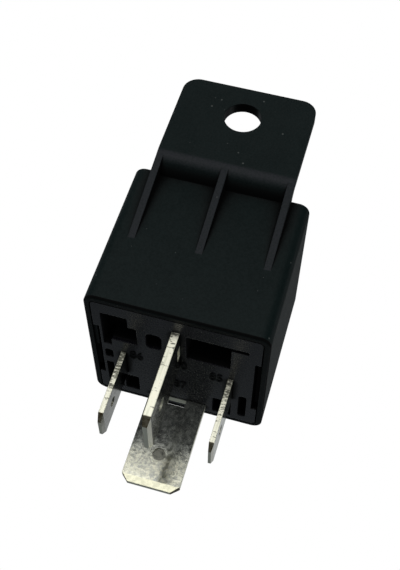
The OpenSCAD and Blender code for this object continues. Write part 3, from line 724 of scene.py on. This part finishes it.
    def _plated(self, tree: ShaderTree, effects: SurfaceEffects, at: bpy.types.Node,
                near_base: bpy.types.NodeSocket) -> bpy.types.NodeSocket:
        """Makes the broad faces' colour.

        Args:
            tree: the material's tree.
            effects: the shared node groups.
            at: the position's parts.
            near_base: how near the base a point is, from 0 to 1.

        Returns:
            The colour.
        """
        fine = tree.group(effects.rolled, Mottles_per_Metre=self.fine_mottles)
        broad = tree.group(effects.rolled, Mottles_per_Metre=self.broad_mottles)
        mottle = tree.maths("ADD", tree.product(fine.outputs["Mottle"], self.fine_share),
                            tree.product(broad.outputs["Mottle"], self.broad_share))
        colour = tree.blend(tree.remap(mottle, self.face_span), self.face_dark, self.face)
        drawn_out = tree.stretched(tree.place("Object"), self.streak_stretch)
        streaks = tree.remap(tree.noise(drawn_out, self.streaks_per_metre, self.streak_layers),
                             self.streak_span)
        colour = tree.blend(tree.product(streaks, self.streak_share), colour, self.face_dark)
        if self.dull_share > 0.0:
            dull = tree.blend(tree.remap(mottle, self.dull_span), self.dull_dark, self.dull)
            colour = tree.blend(tree.product(near_base, self.dull_share), colour, dull)
        # Painted shade in the dimples: where the face is sunk, it goes dark
        shaded_dimple = tree.product(
            tree.remap(self._off_middle(tree), above(self.half, self.dimple_depths), FALLING),
            tree.maths("GREATER_THAN", at.outputs["Z"], self.tip_z + self.dimple_from))
        return tree.blend(shaded_dimple, colour, self.painted_dimple_shade)

    def _sheared(self, tree: ShaderTree, at: bpy.types.Node) -> bpy.types.NodeSocket:
        """Makes the edges' colour, with more marks near the base.

        Args:
            tree: the material's tree.
            at: the position's parts.

        Returns:
            The colour.
        """
        flat = tree.stretched(tree.place("Object"), self.mark_stretch)
        marks = tree.noise(flat, self.marks_per_metre, self.mark_layers)
        worn = tree.remap(at.outputs["Z"],
                          above(self.tip_z + self.worn_from, (0.0, self.worn_over)),
                          self.worn_marks)
        colour = tree.blend(tree.remap(tree.maths("SUBTRACT", marks, worn), self.mark_span),
                            self.shear_mark, self.sheared)
        drawn_out = tree.stretched(tree.place("Object"), self.line_stretch)
        lines = tree.remap(tree.noise(drawn_out, self.lines_per_metre, self.line_layers),
                           self.line_span, self.line_share)
        inner, outer = self.border_span
        borders = tree.remap(self._off_middle(tree), (inner * self.half, outer * self.half),
                             self.border_share)
        return tree.blend(tree.maths("MAXIMUM", lines, borders), colour, self.rollover)


@dataclass(frozen=True)
class PlainMetal:
    """Metal inside the case: plated iron, spring bronze, silver alloy or wire."""

    name: str
    colour: Colour
    shade: Colour
    roughness: float
    mottles_per_metre: float = 900.0
    relief: Relief = Relief(0.15, 0.04 * MM, 0.06 * MM)

    def build(self, effects: SurfaceEffects) -> bpy.types.Material:
        """Makes the material.

        Args:
            effects: the shared node groups.

        Returns:
            The material.
        """
        material, tree, shader = start_material(self.name)
        rolled = tree.group(effects.rolled, Mottles_per_Metre=self.mottles_per_metre)
        tree.join(tree.blend(rolled.outputs["Mottle"], self.shade, self.colour),
                  shader.inputs["Base Color"])
        shader.inputs["Roughness"].default_value = self.roughness
        shader.inputs["Metallic"].default_value = 1.0
        self.relief.apply(tree, shader, rolled.outputs["Height"])
        return material


@dataclass(frozen=True)
class EnamelledWire:
    """Copper wire under clear enamel."""

    name: str
    colour: Colour = (0.36, 0.09, 0.03)
    shade: Colour = (0.24, 0.05, 0.02)
    metallic: float = 0.7
    roughness: float = 0.38
    enamel: float = 0.6
    mottles_per_metre: float = 1500.0
    relief: Relief = Relief(0.1, 0.03 * MM, 0.04 * MM)

    def build(self, effects: SurfaceEffects) -> bpy.types.Material:
        """Makes the material.

        Args:
            effects: the shared node groups.

        Returns:
            The material.
        """
        material, tree, shader = start_material(self.name)
        rolled = tree.group(effects.rolled, Mottles_per_Metre=self.mottles_per_metre)
        tree.join(tree.blend(rolled.outputs["Mottle"], self.shade, self.colour),
                  shader.inputs["Base Color"])
        shader.inputs["Metallic"].default_value = self.metallic
        shader.inputs["Roughness"].default_value = self.roughness
        shader.inputs["Coat Weight"].default_value = self.enamel
        self.relief.apply(tree, shader, rolled.outputs["Height"])
        return material


@dataclass(frozen=True)
class BandedBody:
    """Lacquered resistor body with plain colour rings, each at its place along the case."""

    name: str
    body: Colour = (0.5, 0.36, 0.19)
    rings: tuple[tuple[float, Colour], ...] = ((-1.9 * MM, (0.22, 0.05, 0.02)),
                                               (-0.7 * MM, (0.03, 0.03, 0.03)),
                                               (0.5 * MM, (0.4, 0.09, 0.02)),
                                               (1.9 * MM, (0.5, 0.36, 0.08)))
    ring_w: float = 0.5 * MM
    roughness: float = 0.35
    grains_per_metre: float = 3000.0
    relief: Relief = Relief(0.1, 0.02 * MM, 0.05 * MM)

    def build(self, effects: SurfaceEffects) -> bpy.types.Material:
        """Makes the material.

        Args:
            effects: the shared node groups.

        Returns:
            The material.
        """
        material, tree, shader = start_material(self.name)
        grain = tree.group(effects.grain, Grains_per_Metre=self.grains_per_metre)
        at = tree.parts(tree.place("Object"))
        paint: object = self.body
        for x, colour in self.rings:
            off = tree.maths("ABSOLUTE", tree.maths("SUBTRACT", at.outputs["X"], x))
            paint = tree.blend(tree.maths("LESS_THAN", off, self.ring_w / 2), paint, colour)
        tree.join(paint, shader.inputs["Base Color"])
        shader.inputs["Roughness"].default_value = self.roughness
        self.relief.apply(tree, shader, grain.outputs["Height"])
        return material


# ------------------------------------------------------------------ sub-assemblies


def dress(nodes: tuple[str, ...], material: bpy.types.Material) -> None:
    """Gives solids of the frame their finish.

    Args:
        nodes: names of the solids.
        material: their material.
    """
    for name in nodes:
        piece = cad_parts[name]
        piece.data.materials.clear()
        piece.data.materials.append(material)
        LOG.info("dressed %s with %s", name, material.name)


@dataclass
class Housing:
    """Case with its bracket, and the base that closes it."""

    slot_y: float = 16.5 * MM

    def build(self, effects: SurfaceEffects) -> bpy.types.Material:
        """Dresses both mouldings.

        Args:
            effects: the shared node groups.

        Returns:
            The material of the numbers on the base.
        """
        case = MouldedPlastic(
            "case_plastic", light=(0.0034, 0.0088, 0.0085), dark=(0.0003, 0.0043, 0.0042),
            roughness=0.45, specular=0.12, crevice=4.5 * MM,
            shade=CaseShade(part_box("cover")[0].z, self.slot_y))
        dress(("cover",), case.build(effects))
        plate = MouldedPlastic(
            "base_plastic", light=(0.0125, 0.0120, 0.0175), dark=(0.0070, 0.0066, 0.0102),
            roughness=0.27, specular=0.31, crevice=1.6 * MM, dust_share=0.12,
            relief=Relief(0.3, 0.06 * MM, 0.16 * MM),
            shade=BaseShade(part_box("base")[0].z, self.slot_y))
        dress(("base",), plate.build(effects))
        # The numbers are a darker copy of the base plastic: painted shade in their strokes
        shaded_figures = MouldedPlastic(
            "shaded_number_plastic", light=(0.0040, 0.0040, 0.0046), dark=(0.0030, 0.0030, 0.0034),
            roughness=0.5, specular=0.1, dust_share=0.0,
            relief=Relief(0.6, 0.06 * MM, 0.03 * MM))
        return shaded_figures.build(effects)


@dataclass
class TerminalNumber:
    """Standard number moulded beside a terminal on the socket face."""

    number: str
    x: float
    y: float
    height: float = 2.2 * MM
    height_of_size: float = 0.7
    narrow: float = 0.7
    relief: float = 0.12 * MM
    curve_steps: int = 3
    weld: float = 0.001 * MM

    def build(self, face_z: float, plastic: bpy.types.Material) -> bpy.types.Object:
        """Makes the number as a mesh that stands proud of the socket face.

        Args:
            face_z: height of the socket face.
            plastic: the number's material.

        Returns:
            The finished piece.
        """
        curve = bpy.data.curves.new("number_" + self.number, "FONT")
        curve.body = self.number
        curve.size = self.height / self.height_of_size
        curve.extrude = self.relief
        curve.align_x, curve.align_y = "CENTER", "CENTER"
        curve.resolution_u = self.curve_steps
        shape = bpy.data.objects.new("outline_" + self.number, curve)
        bpy.context.scene.collection.objects.link(shape)
        evaluated = shape.evaluated_get(bpy.context.evaluated_depsgraph_get())
        mesh = bpy.data.meshes.new_from_object(evaluated)
        bpy.data.objects.remove(shape)
        mesh.transform(Matrix.Translation((self.x, self.y, face_z))
                       @ Matrix.Rotation(math.pi, 4, "X")
                       @ Matrix.Diagonal((self.narrow, 1.0, 1.0, 1.0)))
        work = bmesh.new()
        work.from_mesh(mesh)
        bmesh.ops.remove_doubles(work, verts=work.verts, dist=self.weld)
        bmesh.ops.recalc_face_normals(work, faces=work.faces)
        work.to_mesh(mesh)
        work.free()
        mesh.materials.clear()
        mesh.materials.append(plastic)
        piece = bpy.data.objects.new("terminal_number_" + self.number, mesh)
        bpy.context.scene.collection.objects.link(piece)
        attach(piece, "housing")
        LOG.info("built %s", piece.name)
        return piece


@dataclass
class Terminals:
    """The four blades and their numbers."""

    free_end: float = 6.0 * MM
    # Node, axis of the broad faces, chamfer's height, and height where the wear starts
    blades: tuple[TinnedStrip, ...] = (
        TinnedStrip("terminal_30", FaceAxis.ACROSS_CASE, 1.2 * MM, 11.5 * MM),
        TinnedStrip("terminal_87", FaceAxis.ALONG_CASE, 1.2 * MM, 12.0 * MM,
                    dull_share=0.65, dull_metallic=0.8),
        TinnedStrip("terminal_85", FaceAxis.ACROSS_CASE, 1.1 * MM, 3.0 * MM),
        # Terminal 86 has darker copies of the tin colours: painted shade on the same tin
        TinnedStrip("terminal_86", FaceAxis.ACROSS_CASE, 1.1 * MM, 2.0 * MM,
                    face=(0.18, 0.18, 0.155), face_dark=(0.035, 0.035, 0.03),
                    bevel=(0.17, 0.17, 0.14)))
    numbers: tuple[TerminalNumber, ...] = (
        TerminalNumber("30", 0.6 * MM, 16.3 * MM),
        TerminalNumber("87", 0.45 * MM, 22.7 * MM),
        TerminalNumber("86", -6.5 * MM, 16.9 * MM),
        TerminalNumber("85", 6.3 * MM, 17.3 * MM))

    def build(self, effects: SurfaceEffects, plastic: bpy.types.Material) -> None:
        """Dresses the blades and makes the numbers.

        Args:
            effects: the shared node groups.
            plastic: the numbers' material.
        """
        for blade in self.blades:
            dress((blade.node,), self._measured(blade).build(effects))
        face_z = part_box("base")[0].z
        for number in self.numbers:
            number.build(face_z, plastic)

    def _measured(self, blade: TinnedStrip) -> TinnedStrip:
        """Reads the tip, the middle plane and half the thickness from a blade's free end.

        Args:
            blade: the blade's finish.

        Returns:
            The finish with those sizes filled in.
        """
        tip_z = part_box(blade.node)[0].z
        axis = Vector(blade.faces_along.value)
        end = [v.co.dot(axis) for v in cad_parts[blade.node].data.vertices
               if v.co.z < tip_z + self.free_end]
        return replace(blade, tip_z=tip_z, middle=(max(end) + min(end)) / 2,
                       half=(max(end) - min(end)) / 2)


@dataclass
class Mechanism:
    """Magnet, armature, contacts and suppression resistor inside the case."""

    iron: PlainMetal = PlainMetal("relay_iron", (0.5, 0.51, 0.53), (0.4, 0.4, 0.42), 0.36)
    bronze: PlainMetal = PlainMetal("spring_bronze", (0.66, 0.42, 0.2), (0.54, 0.33, 0.15), 0.3)
    silver: PlainMetal = PlainMetal("contact_silver", (0.8, 0.81, 0.82), (0.68, 0.69, 0.7), 0.25)
    spring: PlainMetal = PlainMetal("spring_steel", (0.46, 0.47, 0.49), (0.36, 0.37, 0.39), 0.3)
    braid: PlainMetal = PlainMetal("copper_braid", (0.66, 0.3, 0.16), (0.42, 0.17, 0.08), 0.42)
    tin: PlainMetal = PlainMetal("tinned_wire", (0.6, 0.6, 0.56), (0.48, 0.48, 0.45), 0.35)
    nylon: MouldedPlastic = MouldedPlastic(
        "bobbin_nylon", light=(0.66, 0.62, 0.52), dark=(0.58, 0.54, 0.45),
        roughness=0.5, specular=0.45, dust_share=0.0)
    wire: EnamelledWire = EnamelledWire("enamelled_wire")
    resistor: BandedBody = BandedBody("resistor_lacquer")

    def build(self, effects: SurfaceEffects) -> None:
        """Dresses the mechanism.

        Args:
            effects: the shared node groups.
        """
        for finish, nodes in ((self.iron, ("yoke", "core", "armature")),
                              (self.bronze, ("contact_spring", "armature_rivets")),
                              (self.silver, ("moving_contact", "fixed_contact")),
                              (self.spring, ("return_spring",)),
                              (self.braid, ("braid",)),
                              (self.tin, ("resistor_leads",)),
                              (self.nylon, ("bobbin",)),
                              (self.wire, ("winding", "coil_leads")),
                              (self.resistor, ("resistor",))):
            dress(nodes, finish.build(effects))


# ------------------------------------------------------------------ studio


@dataclass(frozen=True)
class Viewpoint:
    """Camera place: angles in degrees, lengths in metres, lens and sensor in millimetres."""

    azimuth: float = 9.919
    elevation: float = -31.705
    roll: float = 18.986
    distance: float = 158.4 * MM
    target: tuple[float, float, float] = (-0.69 * MM, 16.8 * MM, -21.987 * MM)
    lens: float = 61.64
    sensor: float = 36.0
    clip: Span = (0.005, 20.0)

    def build(self) -> bpy.types.Object:
        """Makes the camera.

        Returns:
            The camera object.
        """
        a, e, r = (math.radians(v) for v in (self.azimuth, self.elevation, self.roll))
        back = Vector((math.sin(a) * math.cos(e), -math.cos(a) * math.cos(e), math.sin(e)))
        right = (-back).cross(Vector((0, 0, 1))).normalized()
        up = right.cross(-back)
        level = Matrix((right, up, back)).transposed()
        turned = level @ Matrix.Rotation(r, 3, "Z")
        camera = bpy.data.objects.new("camera", bpy.data.cameras.new("camera"))
        camera.matrix_world = (Matrix.Translation(Vector(self.target) + back * self.distance)
                               @ turned.to_4x4())
        camera.data.lens = self.lens
        camera.data.sensor_width = self.sensor
        camera.data.clip_start, camera.data.clip_end = self.clip
        bpy.context.scene.collection.objects.link(camera)
        bpy.context.scene.camera = camera
        LOG.info("camera stands at %s", tuple(round(v, 4) for v in camera.location))
        return camera


@dataclass(frozen=True)
class SoftBox:
    """Soft white light that faces the object."""

    name: str
    towards: tuple[float, float, float]
    distance: float
    width: float
    height: float
    radiance: float

    def build(self, middle: Vector) -> bpy.types.Object:
        """Makes the light.

        Args:
            middle: the point that it faces.

        Returns:
            The light object.
        """
        data = bpy.data.lights.new(self.name, "AREA")
        data.shape, data.size, data.size_y = "RECTANGLE", self.width, self.height
        data.energy = self.radiance * math.pi * self.width * self.height
        lamp = bpy.data.objects.new(self.name, data)
        back = Vector(self.towards).normalized()
        lamp.location = middle + back * self.distance
        lamp.rotation_mode = "QUATERNION"
        lamp.rotation_quaternion = (-back).to_track_quat("-Z", "Y")
        lamp.visible_camera = False
        bpy.context.scene.collection.objects.link(lamp)
        LOG.info("lit %s", self.name)
        return lamp


@dataclass
class Studio:
    """Pale floor, white surround and soft lights.

    The floor fades out between two shares of its radius.
    """

    floor_gap: float = 0.3 * MM
    floor_r: float = 0.4
    floor_sides: int = 64
    floor_colour: Colour = (0.86, 0.86, 0.85)
    floor_roughness: float = 0.8
    floor_glow: float = 0.3
    floor_fade: Span = (0.15, 0.9)
    surround: float = 0.16
    surround_tint: Colour = (0.9, 1.0, 1.05)
    # Name, where it stands from the object, distance, width, height and radiance
    lights: tuple[SoftBox, ...] = (
        SoftBox("rear_band", (-0.15, -0.97, 0.065), 0.6, 0.8, 0.32, 2.8),
        SoftBox("backdrop", (0.15, 0.9, 0.45), 0.7, 1.3, 0.8, 0.36),
        SoftBox("right_fill", (1.0, 0.1, -0.05), 0.7, 0.5, 0.3, 1.3),
        SoftBox("left_fill", (-1.0, 0.3, 0.1), 0.7, 0.5, 0.3, 1.0),
        SoftBox("top_light", (-0.1, -0.1, 1.0), 0.7, 0.6, 0.6, 0.9))

    def build(self) -> None:
        """Makes the floor, the world and the lights."""
        low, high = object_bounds()
        self._floor(low.z - self.floor_gap)
        self._world()
        for light in self.lights:
            light.build((low + high) / 2)
        view = bpy.context.scene.view_settings
        view.view_transform, view.look = "Standard", "None"

    def _floor(self, z: float) -> None:
        """Makes a round pale floor that only the camera sees, and only from above.

        Args:
            z: the floor's height.
        """
        work = bmesh.new()
        bmesh.ops.create_circle(work, cap_ends=True, segments=self.floor_sides,
                                radius=self.floor_r, matrix=Matrix.Translation((0, 0, z)))
        bmesh.ops.recalc_face_normals(work, faces=work.faces)
        for face in work.faces:
            if face.normal.z < 0:
                face.normal_flip()
        mesh = bpy.data.meshes.new("floor")
        work.to_mesh(mesh)
        work.free()
        floor = bpy.data.objects.new("floor", mesh)
        bpy.context.scene.collection.objects.link(floor)
        mesh.materials.append(self._floor_finish())
        for ray in ("diffuse", "glossy", "transmission", "shadow", "volume_scatter"):
            setattr(floor, "visible_" + ray, False)
        floor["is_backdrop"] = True

    def _floor_finish(self) -> bpy.types.Material:
        """Makes the floor's material, which turns clear outwards and from below.

        Returns:
            The material.
        """
        material, tree, shader = start_material("pale_floor")
        shader.inputs["Base Color"].default_value = (*self.floor_colour, 1.0)
        shader.inputs["Roughness"].default_value = self.floor_roughness
        shader.inputs["Emission Color"].default_value = (*WHITE, 1.0)
        shader.inputs["Emission Strength"].default_value = self.floor_glow
        out = tree.add("ShaderNodeVectorMath", operation="LENGTH")
        tree.join(tree.place("Object"), out.inputs[0])
        start, stop = self.floor_fade
        far = tree.remap(out.outputs["Value"], (start * self.floor_r, stop * self.floor_r))
        under = tree.add("ShaderNodeNewGeometry").outputs["Backfacing"]
        pick = tree.add("ShaderNodeMixShader")
        tree.join(tree.maths("MAXIMUM", under, far), pick.inputs[0])
        tree.join(shader.outputs[0], pick.inputs[1])
        tree.join(tree.add("ShaderNodeBsdfTransparent").outputs[0], pick.inputs[2])
        tree.join(pick.outputs[0], material.node_tree.nodes["Material Output"].inputs[0])
        return material

    def _world(self) -> None:
        """Makes a surround that is white to the camera and dimmer as a light."""
        world = bpy.data.worlds.new("surround")
        bpy.context.scene.world = world
        world.use_nodes = True
        tree = ShaderTree(world.node_tree)
        white = world.node_tree.nodes["Background"]
        dim = tree.add("ShaderNodeBackground")
        for node, colour, strength in ((white, WHITE, 1.0),
                                       (dim, self.surround_tint, self.surround)):
            node.inputs["Color"].default_value = (*colour, 1.0)
            node.inputs["Strength"].default_value = strength
        ray = tree.add("ShaderNodeLightPath")
        pick = tree.add("ShaderNodeMixShader")
        tree.join(ray.outputs["Is Camera Ray"], pick.inputs[0])
        tree.join(dim.outputs[0], pick.inputs[1])
        tree.join(white.outputs[0], pick.inputs[2])
        tree.join(pick.outputs[0], world.node_tree.nodes["World Output"].inputs[0])


# ------------------------------------------------------------------ build


def main() -> None:
    """Dresses the relay and builds the studio."""
    logging.basicConfig(level=logging.INFO, format="%(message)s")
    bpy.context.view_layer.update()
    Viewpoint().build()
    effects = SurfaceEffects()
    plastic = Housing().build(effects)
    Terminals().build(effects, plastic)
    Mechanism().build(effects)
    Studio().build()


if __name__ == "__main__":
    main()
